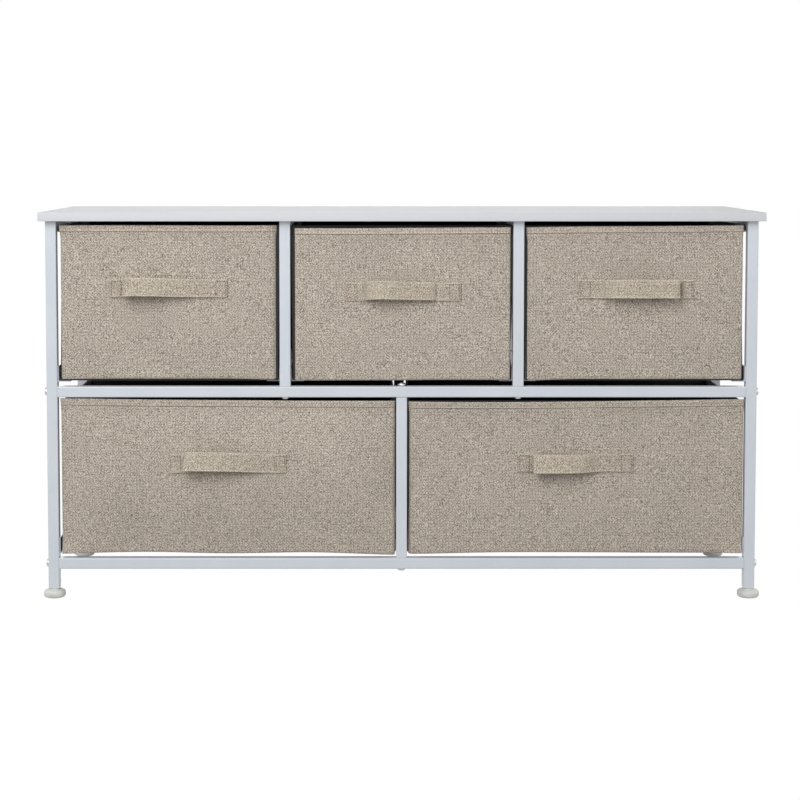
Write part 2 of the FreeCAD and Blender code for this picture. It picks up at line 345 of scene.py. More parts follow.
# Zinc plate: bright and slightly bluish, with the fine dulling of a barrel-plated small part.
zinc_plate, tree, place = new_material("bright_zinc_plate")
dulling_size = 1.2 * mm
dulling = add_node(tree, "TexNoise", {"Vector": place, "Scale": 1 / dulling_size, "Detail": 3})
sheen = add_node(tree, "MapRange", {"Value": dulling, "To Min": 0.16, "To Max": 0.36})
surfaced(
    tree, dulling, ("#A9ABAC", "#C9CBCC"), (0.0, 1.0), dulling, 0.1, 0.02 * mm,
    {"Metallic": 1.0, "Roughness": sheen},
)

for name in ("rail_end_nuts", "divider_end_nuts"):
    coat(name, zinc_plate)

bolt_sides = 24
socket_across_corners = 4.6 * mm
socket_depth, socket_taper = 1.6 * mm, 0.98
head_edge_height = 0.7 * mm
# The dome of a button head: each ring's share of its radius, and of its height above the edge.
head_crown_steps = ((0.97, 0.35), (0.86, 0.7), (0.66, 0.92), (0.62, 1.0))
flange_edge_share, flange_taper = 0.6, 0.88


def start_disc(radius, height, sides):
    """A low cylinder on the origin along Z, left in edit mode with its top selected."""
    bpy.ops.mesh.primitive_cylinder_add(
        vertices=sides, radius=radius, depth=height, location=(0, 0, height / 2)
    )
    apply_place()
    bpy.ops.object.mode_set(mode="EDIT")
    pick_faces(lambda at, normal: normal.z > facing)


def raise_top(rise, ratio):
    """Extrudes the selected flat top upwards and scales it by a ratio."""
    bpy.ops.mesh.extrude_region_move(TRANSFORM_OT_translate={"value": (0, 0, rise)})
    bpy.ops.transform.resize(value=(ratio, ratio, 1))


def button_head(radius, height):
    """A domed head with a hexagon socket in its crown, on the origin and along Z."""
    start_disc(radius, head_edge_height, bolt_sides)
    reached_radius, reached_height = 1.0, head_edge_height
    for share, rise in head_crown_steps:
        level = head_edge_height + (height - head_edge_height) * rise
        raise_top(level - reached_height, share / reached_radius)
        reached_radius, reached_height = share, level
    raise_top(0, socket_across_corners / 2 / (radius * reached_radius))
    shape = bmesh.from_edit_mesh(bpy.context.object.data)
    side_angle = math.radians(60)
    for vertex in {v for face in shape.faces if face.select for v in face.verts}:
        turn = math.atan2(vertex.co.y, vertex.co.x) % side_angle - side_angle / 2
        flat_distance = socket_across_corners / 2 * math.cos(side_angle / 2) / math.cos(turn)
        vertex.co.xy = vertex.co.xy.normalized() * flat_distance
    bmesh.update_edit_mesh(bpy.context.object.data)
    raise_top(-socket_depth, socket_taper)
    bpy.ops.mesh.select_all(action="SELECT")
    bpy.ops.mesh.normals_make_consistent(inside=False)
    return left_edit()


def flange(radius, height):
    """The wide thin rim under the head of a flanged bolt."""
    start_disc(radius, height * flange_edge_share, bolt_sides)
    raise_top(height * (1 - flange_edge_share), flange_taper)
    return left_edit()


def pick_only(shape):
    """Makes one object the selected and active one."""
    bpy.ops.object.select_all(action="DESELECT")
    shape.select_set(True)
    bpy.context.view_layer.objects.active = shape


def set_at(shape, seat, outward):
    """Turns a shape that was made along Z so that it points outward, and moves it to its seat."""
    turn = Vector(outward).to_track_quat("Z", "Y").to_matrix().to_4x4()
    shape.matrix_world = Matrix.Translation(seat) @ turn
    pick_only(shape)
    apply_place()


def joined(shapes):
    """Several finished shapes as one object."""
    pick_only(shapes[0])
    for shape in shapes:
        shape.select_set(True)
    bpy.ops.object.join()
    return bpy.context.object


def set_copies(shape, places):
    """A copy of a shape, with its own mesh, at each (seat, outward) place."""
    copies = []
    for seat, outward in places:
        copy = shape.copy()
        copy.data = shape.data.copy()
        bpy.context.collection.objects.link(copy)
        set_at(copy, seat, outward)
        copies.append(copy)
    return copies


def start_thread(radius, pitch, turns, root_share, sides):
    """A threaded rod on the origin, its turns drawn as rings, left in edit mode."""
    start_disc(radius * root_share, pitch / 2, sides)
    for turn in range(turns):
        raise_top(pitch / 2, 1 / root_share)
        raise_top(pitch / 2, root_share)


def shank(radius, length):
    """The threaded part of a bolt or screw, from the origin down along Z."""
    turns = int(length / shank_pitch)
    start_thread(radius, shank_pitch, turns, shank_root_share, shank_sides)
    piece = left_edit()
    piece.location = (0, 0, -turns * shank_pitch - shank_pitch / 2)
    apply_place()
    return piece


up, down = (0, 0, 1), (0, 0, -1)
leg_x, leg_y = 481.5 * mm, 131.5 * mm
tube_half = 7.5 * mm
bottom_rail, middle_rail = 47.5 * mm, 286.5 * mm
shank_pitch, shank_root_share, shank_sides = 1.0 * mm, 0.86, 16
bolt_head_radius, bolt_head_height = 5.75 * mm, 3.3 * mm
bolt_radius, bolt_length = 3.0 * mm, 32 * mm

head = button_head(bolt_head_radius, bolt_head_height)
bolt = joined([head, shank(bolt_radius, bolt_length)])
side_bolts = set_copies(
    bolt,
    [
        ((side * (leg_x + tube_half), front * leg_y, level), (side, 0, 0))
        for side in (-1, 1) for front in (-1, 1) for level in (bottom_rail, middle_rail)
    ],
)
joined(side_bolts).data.materials.append(zinc_plate)
finished("side_frame_bolts_zinc", "frame", ["side_frame_bolts"])

upper_divider_x = 160.5 * mm
flange_radius, flange_height = 7.5 * mm, 1.4 * mm
divider_bolts = []
for y in (-leg_y, leg_y):
    divider_bolts += set_copies(
        bolt,
        [
            ((-upper_divider_x, y, middle_rail - tube_half), down),
            ((upper_divider_x, y, middle_rail - tube_half), down),
            ((0, y, bottom_rail - tube_half), down),
        ],
    )
    rim = flange(flange_radius, flange_height)
    set_at(rim, (0, y, middle_rail + tube_half), up)
    divider_bolts.append(rim)
    divider_bolts += set_copies(bolt, [((0, y, middle_rail + tube_half + flange_height), up)])
joined(divider_bolts).data.materials.append(zinc_plate)
finished("divider_bolts_zinc", "frame", ["divider_bolts"])
bpy.data.objects.remove(bolt)

screw_head_radius, screw_head_height = 4.0 * mm, 2.4 * mm
# From its edge up, each ring's share of a pan head's height, and how far the head narrows there.
screw_edge_share, screw_head_steps = 0.4, ((0.35, 0.9), (0.25, 0.72))
cross_width, cross_reach, cross_depth = 1.0 * mm, 2.3 * mm, 1.2 * mm
screw_radius, screw_length = 1.9 * mm, 12 * mm
screw_from_middle, screw_seat = 79 * mm, 507 * mm
screw_places = [(x, y) for x in (-leg_x, leg_x) for y in (-screw_from_middle, screw_from_middle)]
screw_places += [(-upper_divider_x, 0), (upper_divider_x, 0)]
start_disc(screw_head_radius, screw_head_height * screw_edge_share, bolt_sides)
for rise_share, ratio in screw_head_steps:
    raise_top(screw_head_height * rise_share, ratio)
screw_head = left_edit()
for turned in (0, 90):
    bpy.ops.mesh.primitive_cube_add(
        size=1, location=(0, 0, screw_head_height), rotation=(0, 0, math.radians(turned)),
        scale=(2 * cross_reach, cross_width, 2 * cross_depth),
    )
    cutter = bpy.context.object
    pick_only(screw_head)
    cut = screw_head.modifiers.new("cross_recess", "BOOLEAN")
    cut.object, cut.operation, cut.solver = cutter, "DIFFERENCE", "EXACT"
    bpy.ops.object.modifier_apply(modifier=cut.name)
    bpy.data.objects.remove(cutter)
screw = joined([screw_head, shank(screw_radius, screw_length)])
screws = joined(set_copies(screw, [((x, y, screw_seat), down) for x, y in screw_places]))
screws.data.materials.append(zinc_plate)
finished("top_board_screws_zinc", "frame", ["top_board_screws"])
bpy.data.objects.remove(screw)

# ================================================================== feet and leg plugs
# A levelling foot is one moulding of off-white nylon on a steel stud. The stud screws into a
# threaded plug that is pressed into the end of the leg, so the foot turns to level the dresser.

# Moulded nylon: slightly yellow, satin from the mould's spark-eroded face, with a soft glow.
nylon, tree, place = new_material("off_white_moulded_nylon")
flow_size, spark_size = 9 * mm, 0.5 * mm
flow = add_node(tree, "TexNoise", {"Vector": place, "Scale": 1 / flow_size, "Detail": 3})
spark = add_node(tree, "TexNoise", {"Vector": place, "Scale": 1 / spark_size, "Detail": 2})
surfaced(
    tree, flow, ("#D2D3CC", "#DEDED8"), (0.3, 0.7), spark, 0.2, 0.04 * mm,
    {"Roughness": 0.45, "Subsurface Weight": 0.05, "Subsurface Scale": 1.0 * mm},
)
coat("leg_plugs", nylon)

foot_sides = 48
# The foot's outline from its sole up to the seat of the stud: radius and height, in mm.
foot_outline = (
    (13.6, 0.5), (14.6, 1.4), (15.0, 2.8), (15.0, 6.6), (14.6, 7.9), (13.6, 9.0), (11.8, 10.0),
    (9.4, 10.7), (7.9, 11.3), (7.2, 12.0), (6.9, 12.7),
)
sole_radius, sole_bevel_height = 12.6 * mm, 0.1 * mm
stud_radius, stud_top = 4.0 * mm, 25 * mm
stud_pitch, stud_root_share, stud_tip_share, stud_sides = 1.25 * mm, 0.88, 0.85, 24

start_disc(sole_radius, sole_bevel_height, foot_sides)
radius, height = sole_radius, sole_bevel_height
for outline_radius, outline_height in foot_outline:
    raise_top(outline_height * mm - height, outline_radius * mm / radius)
    radius, height = outline_radius * mm, outline_height * mm
pad = left_edit()
pad.data.materials.append(nylon)
turns = int((stud_top - height) / stud_pitch) - 1
start_thread(stud_radius, stud_pitch, turns, stud_root_share, stud_sides)
raise_top(stud_pitch / 2, stud_tip_share)
stud = left_edit()
stud.location = (0, 0, height)
apply_place()
stud.data.materials.append(zinc_plate)
foot = joined([pad, stud])
for side_name, x in (("left", -leg_x), ("right", leg_x)):
    for end_name, y in (("front", -leg_y), ("rear", leg_y)):
        set_copies(foot, [((x, y, 0), up)])
        name = f"{side_name}_{end_name}_foot"
        finished(f"{name}_moulding", f"{name}_turning", [name])
bpy.data.objects.remove(foot)

# ================================================================== drawer boxes
# Each drawer is a box sewn from black non-woven felt: two sides, a back, a bottom and a lining for
# the front. A hem is folded over its rim and stitched, and the sides hang in a little between hems.

# Spun-bonded polypropylene felt: black, matt, with the fine grid of dots that bonds its fibres,
# and loose fibres that catch the light. The dots are drawn 2 mm apart so that they show.
felt, tree, place = new_material("black_spunbond_felt")
bond_spacing, fibre_size = 2.0 * mm, 0.9 * mm
dots = add_node(
    tree, "TexVoronoi", {"Vector": place, "Scale": 1 / bond_spacing, "Randomness": 0.15}
)
fibres = add_node(
    tree, "TexNoise", {"Vector": place, "Scale": 1 / fibre_size, "Detail": 5, "Roughness": 0.7}
)
bonded = add_node(tree, "MapRange", {"Value": dots.outputs["Distance"], "From Max": 0.5})
height = add_node(tree, "Math", {0: bonded, 1: fibres}, operation="ADD")
surfaced(
    tree, fibres, ("#1C1B1A", "#302F2E"), (0.3, 0.75), height, 0.5, 0.15 * mm,
    {"Roughness": 0.85, "Sheen Weight": 0.15},
)

# Hardboard under the felt: brown pressed fibre, smooth on top.
hardboard, tree, place = new_material("brown_hardboard")
wood_fibre_size = 3 * mm
wood_fibres = add_node(
    tree, "TexNoise", {"Vector": place, "Scale": 1 / wood_fibre_size, "Detail": 6, "Roughness": 0.7}
)
surfaced(
    tree, wood_fibres, ("#6B4A30", "#8B6543"), (0.3, 0.7), wood_fibres, 0.2, 0.05 * mm,
    {"Roughness": 0.6},
)

drawers = [
    "upper_left_drawer", "upper_middle_drawer", "upper_right_drawer",
    "lower_left_drawer", "lower_right_drawer",
]
felt_thickness = 2.0 * mm
# A hem's height, the felt that it adds to the inside, and what it adds to the outside.
hem_height = 14 * mm
hem_layer, hem_outside = 0.8 * mm, 0.25 * mm
box_cuts = 18
# How far a wall hangs in next to a leg, and bulges out next to a divider, at the middle of its rim.
wall_hang_in, wall_bulge_out = 2.2 * mm, 1.2 * mm
# The flare of a front corner next to a divider fades out over a third of the drawer's depth.
corner_flare, flare_fades = 2.8 * mm, 1 / 3
corner_pulled_in, corner_pulled_back = 2.2 * mm, 4.0 * mm
legs_from_middle = 450 * mm
# Raised to wall_power a share counts only close to a wall, and to rise_power it grows early.
wall_power, rise_power = 6, 0.7
pucker_size, pucker_length = 0.7 * mm, 45 * mm
pucker_at_back = Vector((7, 3, 1))


def box_corners(drawer):
    """The lowest and highest corner of a drawer's felt box, without its hem."""
    low, high = box_of(f"{drawer}_box")
    low.x += hem_layer
    high.x -= hem_layer
    high.y -= hem_layer
    return low, high


def clamped(share):
    """A share, kept between 0 and 1."""
    return max(0.0, min(1.0, share))


def hung(point, low, high):
    """Where a point of a sewn box ends up, with its walls puckered.

    Walls next to a leg hang in, and the front cover pulls their front corners in. Walls next to a
    divider bulge out, most of all at the front.
    """
    share = Vector([(point[i] - low[i]) / (high[i] - low[i]) for i in range(3)])
    along = [max(0.0, 4 * share[i] * (1 - share[i])) for i in range(3)]
    at_sides = abs(2 * share.x - 1) ** wall_power
    at_back = max(0.0, 2 * share.y - 1) ** wall_power
    risen = clamped(share.z) ** rise_power
    outward = 1 if share.x > 0.5 else -1
    beside_leg = abs(point.x) > legs_from_middle
    moved = Vector(point)
    side_inward = wall_hang_in if beside_leg else -wall_bulge_out
    moved.x -= outward * side_inward * risen * along[1] * at_sides
    moved.y -= wall_hang_in * risen * along[0] * at_back
    if beside_leg:
        at_corner = at_sides * max(0.0, 1 - share.y * box_cuts) * risen
        moved += Vector((-outward * corner_pulled_in, corner_pulled_back, 0)) * at_corner
    else:
        moved.x += outward * corner_flare * max(0.0, 1 - share.y / flare_fades) * risen * at_sides
    at_noise = Vector(point) / pucker_length
    moved.x -= outward * abs(noise.noise(at_noise)) * pucker_size * risen * at_sides
    moved.y -= abs(noise.noise(at_noise + pucker_at_back)) * pucker_size * at_back
    return moved


ply_length = 1.2 * mm
stitch_length, stitch_gap, stitch_radius = 2.6 * mm, 1.0 * mm, 0.35 * mm


def sewing_thread(name, dark, light):
    """Spun polyester sewing thread, its plies a little lighter where they catch the light."""
    thread, tree, place = new_material(name)
    plies = add_node(tree, "TexWave", {"Vector": place, "Scale": 1 / ply_length, "Distortion": 1.0})
    tone = add_node(tree, "ValToRGB", {"Fac": plies.outputs["Fac"]})
    tone.color_ramp.elements[0].color = linear(dark)
    tone.color_ramp.elements[1].color = linear(light)
    spun = add_node(tree, "BsdfPrincipled", {"Base Color": tone, "Roughness": 0.6})
    add_node(tree, "OutputMaterial", {"Surface": spun})
    return thread


black_thread = sewing_thread("black_polyester_thread", "#1C1C1D", "#3A3A3C")


def stitched(lines, radius=stitch_radius):
    """One object with a row of stitches along each (start, end) line, half sunk into the cloth."""
    bpy.ops.mesh.primitive_uv_sphere_add(segments=6, ring_count=4, radius=1)
    one = bpy.context.object
    rows = bmesh.new()
    for start, end in lines:
        count = max(1, round((end - start).length / (stitch_length + stitch_gap)))
        turn = (end - start).to_track_quat("Z", "Y").to_matrix().to_4x4()
        size = Matrix.Diagonal((radius, radius, stitch_length / 2, 1))
        for index in range(count):
            at = start.lerp(end, (index + 0.5) / count)
            before = len(rows.verts)
            rows.from_mesh(one.data)
            rows.verts.ensure_lookup_table()
            for vertex in rows.verts[before:]:
                vertex.co = at + turn @ (size @ vertex.co)
    bpy.data.objects.remove(one)
    mesh = bpy.data.meshes.new("stitches")
    rows.to_mesh(mesh)
    rows.free()
    stitches = bpy.data.objects.new("stitches", mesh)
    bpy.context.collection.objects.link(stitches)
    pick_only(stitches)
    return stitches


def felt_shape(low, high):
    """The shape that was being edited, as felt that hangs as a box's walls do."""
    shape = left_edit()
    for vertex in shape.data.vertices:
        vertex.co = hung(vertex.co, low, high)
    shape.data.materials.append(felt)
    return shape


hem_seam_up, seam_stations, hem_rounding = 2.5 * mm, 12, 1.0 * mm
for drawer in drawers:
    low, high = box_corners(drawer)

    start_block(low, high)
    pick_faces(lambda at, normal: normal.z > facing)
    bpy.ops.mesh.delete(type="FACE")
    pick_edges(lambda a, b: True)
    bpy.ops.transform.edge_crease(value=0.75)
    bpy.ops.mesh.subdivide(number_cuts=box_cuts)
    sewn_box = felt_shape(low, high)
    wall = sewn_box.modifiers.new("felt_thickness", "SOLIDIFY")
    wall.thickness, wall.offset = felt_thickness, -1
    soft = sewn_box.modifiers.new("softened", "SUBSURF")
    soft.levels = soft.render_levels = 1
    finished(f"{drawer}_felt_box", drawer, [f"{drawer}_box"], smooth_angle=60)

    start_block(Vector((low.x, low.y, high.z - hem_height)), high)
    pick_faces(lambda at, normal: abs(normal.z) > facing or normal.y < -facing)
    bpy.ops.mesh.delete(type="FACE")
    pick_edges(lambda a, b: abs(a.z - b.z) < same_place)
    bpy.ops.mesh.subdivide(number_cuts=2 * box_cuts)
    hem = felt_shape(low, high)
    fold = hem.modifiers.new("folded_layers", "SOLIDIFY")
    fold.thickness = felt_thickness + hem_layer + hem_outside
    fold.offset = 2 * hem_outside / fold.thickness - 1
    fold.use_even_offset = True
    rounded = hem.modifiers.new("soft_fold", "BEVEL")
    rounded.width, rounded.segments, rounded.limit_method = hem_rounding, 3, "ANGLE"
    finished(f"{drawer}_felt_hem", drawer, smooth_angle=60)

    seam_level = high.z - hem_height + hem_seam_up
    outside = []
    for part in range(seam_stations):
        ends = [low.lerp(high, (part + end) / seam_stations) for end in (0, 1)]
        for x in (low.x, high.x):
            outside.append([hung(Vector((x, end.y, seam_level)), low, high) for end in ends])
        outside.append([hung(Vector((end.x, high.y, seam_level)), low, high) for end in ends])
    stitched(outside).data.materials.append(black_thread)
    finished(f"{drawer}_hem_stitches", drawer, smooth_angle=60)

    coat(f"{drawer}_base_board", hardboard)

# ================================================================== drawer fronts
# A stiff card covered with linen-look cloth, sewn to the front of each box. The cloth is turned
# over the card at the top and stitched down, which leaves a hem along the upper edge.

# Linen-look polyester: slubby threads in both directions, beige with darker flecks where a thread
# dives under the next, and a faint net of longer floats. Paler copies of it are painted light: on
# the upper drawers' hems, against the shadow the board casts there, and on the straps' folded rims,
# as a painted highlight.
thread_spacing = 0.5 * mm
slub_length = 2.0 * mm
fleck_size = 0.55 * mm
float_spacing = 4.1 * mm
patch_size, drift_size = 40 * mm, 70 * mm
# The weave is a sum of three noises. Its mean, how far from that the shades end, and what the
# net of floats and its ribs add to it.
weave_mean, weave_spread = 1.5, 0.138
net_share, rib_share = 0.25, 0.05
# A wave texture's bands repeat every tau / 20 at a scale of 1.
wave_period = math.tau / 20


def slub_linen(name, darkest, usual, lightest, pressed=None):
    """Linen-look cloth in three shades: its flecks, its usual tone and its brightest threads.

    A tint given as pressed is painted shade: it darkens the cloth where the piece's attribute for
    its flat, sewn-down parts is high.
    """
    cloth, tree, place = new_material(name)
    squeeze = thread_spacing / slub_length
    weft, warp = (
        add_node(
            tree, "TexNoise",
            {
                "Vector": add_node(tree, "Mapping", {"Vector": place, "Scale": scale}),
                "Scale": 1 / thread_spacing, "Detail": 1,
            },
        )
        for scale in ((squeeze, 1, 1), (1, 1, squeeze))
    )
    flecks = add_node(
        tree, "TexNoise", {"Vector": place, "Scale": 1 / fleck_size, "Detail": 2, "Roughness": 0.7}
    )
    threads = add_node(tree, "Math", {0: weft, 1: warp}, operation="ADD")
    across, upward = (
        add_node(
            tree, "Math",
            {
                0: add_node(
                    tree, "TexWave",
                    {"Vector": place, "Scale": wave_period / float_spacing, "Distortion": 2.5},
                    bands_direction=direction,
                ).outputs["Fac"],
                1: 0.5,
            },
            operation="SUBTRACT",
        )
        for direction in ("X", "Z")
    )
    floats, ribs = (
        add_node(tree, "Math", {0: across, 1: upward}, operation=combined)
        for combined in ("MULTIPLY", "ADD")
    )
    woven = add_node(tree, "Math", {0: threads, 1: flecks}, operation="ADD")
    for added, share in ((ribs, rib_share), (floats, net_share)):
        woven = add_node(tree, "Math", {0: added, 1: share, 2: woven}, operation="MULTIPLY_ADD")
    patches = add_node(tree, "TexNoise", {"Vector": place, "Scale": 1 / patch_size, "Detail": 1})
    slubbiness = add_node(
        tree, "MapRange",
        {"Value": patches, "From Min": 0.35, "From Max": 0.65, "To Min": 0.9, "To Max": 1.25},
    )
    from_mean = add_node(tree, "Math", {0: woven, 1: weave_mean}, operation="SUBTRACT")
    uneven = add_node(
        tree, "Math", {0: from_mean, 1: slubbiness, 2: weave_mean}, operation="MULTIPLY_ADD"
    )
    contrast = add_node(
        tree, "MapRange",
        {
            "Value": uneven, "From Min": weave_mean - weave_spread,
            "From Max": weave_mean + weave_spread,
        },
    )
    tone = add_node(tree, "ValToRGB", {"Fac": contrast})
    tone.color_ramp.elements[0].color = linear(darkest)
    tone.color_ramp.elements[1].color = linear(lightest)
    tone.color_ramp.elements.new(0.45).color = linear(usual)
    shade = add_node(tree, "TexNoise", {"Vector": place, "Scale": 1 / drift_size, "Detail": 2})
    drift = add_node(
        tree, "MapRange",
        {"Value": shade, "From Min": 0.3, "From Max": 0.7, "To Min": 0.96, "To Max": 1.04},
    )
    colour = add_node(
        tree, "Mix", {"Factor": 1.0, 6: tone, 7: drift}, data_type="RGBA", blend_type="MULTIPLY"
    ).outputs[2]
    # Painted shade: the pressed tint darkens the colour where the piece lies flat.
    if pressed:
        sewn_down_shade = add_node(tree, "Attribute", attribute_name="sewn_down_shade")
        colour = add_node(
            tree, "Mix",
            {"Factor": sewn_down_shade.outputs["Fac"], 6: colour, 7: linear(pressed)},
            data_type="RGBA", blend_type="MULTIPLY",
        ).outputs[2]
    surface = add_node(tree, "Bump", {"Height": threads, "Strength": 0.35, "Distance": 0.25 * mm})
    weave = add_node(
        tree, "BsdfPrincipled",
        {"Base Color": colour, "Roughness": 0.88, "Normal": surface, "Sheen Weight": 0.1},
    )
    add_node(tree, "OutputMaterial", {"Surface": weave})
    return cloth


front_linen = slub_linen("beige_slub_linen", "#6C6259", "#AFA597", "#DCD1C3")
# A paler copy for the upper drawers' hems: painted light that lifts the shadow the board casts on
# them.
lit_hem_linen = slub_linen("beige_slub_linen_hem_painted_light", "#80746A", "#C0B3A6", "#E8DCCF")
# The strap cloth is a shade paler and yellower than the front's, partly its own tone and partly
# painted light on the loop; its last tint is painted shade that darkens its sewn-down ends.
strap_linen = slub_linen("beige_slub_linen_strap", "#73685A", "#B5A998", "#E0D5C3", "#F6F6F9")
# A paler copy for the straps' lower and upper rims: a painted highlight along their folded edges.
highlit_rim_linen = slub_linen("beige_slub_linen_rim_painted_highlight", "#8E8373", "#C2B7A5", "#E4DAC9")

# Brown thread for the straps, a little darker than the cloth. The hems' thread is pale as a painted
# highlight along each hem's ridge.
brown_thread = sewing_thread("brown_polyester_thread", "#574C3E", "#716553")
ridge_highlight_thread = sewing_thread("pale_polyester_thread_ridge_highlight", "#CFC2AE", "#E6DAC8")

front_thickness, cloth_thickness = 4 * mm, 1.0 * mm
column_spacing, row_spacing = 5 * mm, 4.5 * mm
edge_steps = (0.0, 0.1, 0.25, 0.45, 0.7, 1.0)
# How deep the sides and the bottom curve back, as a share of the width that curves.
side_turned, bottom_turned, turned_power = 0.8, 0.55, 1.6
bottom_roll = 3.0 * mm
hem_fades, hem_past_power = 16 * mm, 8
edge_power = 6
ripple_length, ripple_height = 60 * mm, 0.5 * mm
# The hem's line of stitches: how far down it lies, how far it stands out, and its parts.
seam_down, seam_proud, seam_parts = 7.9 * mm, 2.8 * mm, 24
# How thin a lower front's outer corner is pressed, how far it clears the runner's end, how far
# beside the runner and above its shelf it is pressed fully, and over what distance that fades.
pressed_share, press_gap = 0.2, 0.4 * mm
press_beside, press_above, press_fades = 1.0 * mm, 3.5 * mm, 12 * mm
# How far below its top edge each fine row of the hem lies, and how far it stands proud there, in
# mm: a turned-over layer that leans out to its stitched ridge, and the groove below the ridge.
hem_rows = (
    (0.0, 0.8), (1.2, 2.0), (3.0, 2.0), (5.2, 1.6), (6.8, 1.2), (7.5, 2.6), (8.2, 2.8), (8.4, 0.6),
    (9.0, 0.5), (9.5, 1.2), (12.0, 1.1), (15.0, 0.5), (18.0, 0.1), (21.0, 0.0),
)
hem_groove = 8.3
# How each front hangs, in mm. top_up and bottom_up: how far its edges lie above the card's, at
# five places from left to right. proud: how far it stands out, at five places from the top down.
# Then for its left and right side: how far in it ends, how wide the edge curves back, and how far
# the hem reaches past it.
fronts = {
    "upper_left_drawer": {
        "top_up": (-0.3, -0.1, -0.2, -0.5, -0.3), "bottom_up": (2.2, 3.0, 2.9, 3.1, 1.5),
        "proud": (3.4, 2.4, 2.6, 2.2, 0.6),
        "inset": (3.1, 0.3), "curved": (1.2, 8.0), "hem_past": (2.2, 0.0),
    },
    "upper_middle_drawer": {
        "top_up": (-4.2, -4.2, -3.8, -3.3, -2.9), "bottom_up": (0.4, 0.6, 0.9, 1.5, 0.9),
        "proud": (3.4, 0.9, 0.4, 1.0, 0.4),
        "inset": (3.7, 1.2), "curved": (1.8, 1.8), "hem_past": (0.0, 0.0),
    },
    "upper_right_drawer": {
        "top_up": (-2.8, -1.9, -1.5, -0.9, -0.2), "bottom_up": (0.3, 2.4, 2.2, 2.6, 2.0),
        "proud": (2.8, 1.2, 1.2, 1.2, 0.4),
        "inset": (-0.3, 2.9), "curved": (8.0, 1.8), "hem_past": (0.0, 0.4),
    },
    "lower_left_drawer": {
        "top_up": (3.1, 1.4, 0.4, -0.4, -0.7), "bottom_up": (-1.9, 0.1, -1.9, -0.5, -4.0),
        "proud": (0.0, 9.0, 12.0, 8.0, 0.0),
        "inset": (1.7, -0.8), "curved": (1.8, 3.5), "hem_past": (1.0, 0.0),
    },
    "lower_right_drawer": {
        "top_up": (-1.7, -2.0, -1.2, 0.4, 1.8), "bottom_up": (-2.8, -0.4, -0.2, -0.8, -1.0),
        "proud": (2.6, 1.2, 2.4, 3.0, 1.0),
        "inset": (-0.4, -0.5), "curved": (6.0, 1.8), "hem_past": (0.0, 1.0),
    },
}


def through(stops, share):
    """A smooth curve through evenly spaced stops, numbers or vectors, at a share of its length."""
    step = share * (len(stops) - 1)
    span = max(0, min(int(step), len(stops) - 2))
    t = step - span
    before, here, there, after = (
        stops[max(0, min(len(stops) - 1, span + i))] for i in (-1, 0, 1, 2)
    )
    return 0.5 * (
        2 * here + (there - before) * t + (2 * before - 5 * here + 4 * there - after) * t**2
        + (3 * here - before - 3 * there + after) * t**3
    )


def cloth_face(drawer, x, z):
    """Where the cloth of a front lies along Y at x and z, its hem and rolled edges aside."""
    low, high = box_of(f"{drawer}_front")
    across, down = (x - low.x) / (high.x - low.x), (high.z - z) / (high.z - low.z)
    proud = through(fronts[drawer]["proud"], clamped(down)) * mm
    ripple = noise.noise(Vector((x, 0, z)) / ripple_length) * ripple_height
    held = max(0.0, 1 - abs(2 * across - 1) ** edge_power)
    return low.y + cloth_thickness - (proud + ripple) * held


def on_cloth(drawer, x, z, proud=0.0):
    """A point on the cloth of a front, or this far before it."""
    return Vector((x, cloth_face(drawer, x, z) - proud, z))


def start_cloth(columns, rows):
    """A flat cloth with a point at each column and row."""
    bpy.ops.mesh.primitive_grid_add(x_subdivisions=columns - 1, y_subdivisions=rows - 1, size=1)
    return bpy.context.object


def points_of(cloth, columns, rows):
    """Each point of a flat cloth, its column from the left and its row from the bottom."""
    for vertex in cloth.data.vertices:
        column = round((vertex.co.x + 0.5) * (columns - 1))
        yield vertex, column, round((vertex.co.y + 0.5) * (rows - 1))


def made_up(cloth, columns, materials, painted_light_rows, thickness, side, rounding):
    """Gives a cloth a thickness, round rims and two materials, the second a paler copy, painted
    light, on the given rows.
    """
    for material in materials:
        cloth.data.materials.append(material)
    for face in cloth.data.polygons:
        face.material_index = int(min(vertex // columns for vertex in face.vertices) in painted_light_rows)
    layers = cloth.modifiers.new("layers", "SOLIDIFY")
    layers.thickness, layers.offset = thickness, side
    rim = cloth.modifiers.new("round_rim", "BEVEL")
    rim.width, rim.segments = rounding, 3
    rim.limit_method, rim.angle_limit = "ANGLE", math.radians(60)


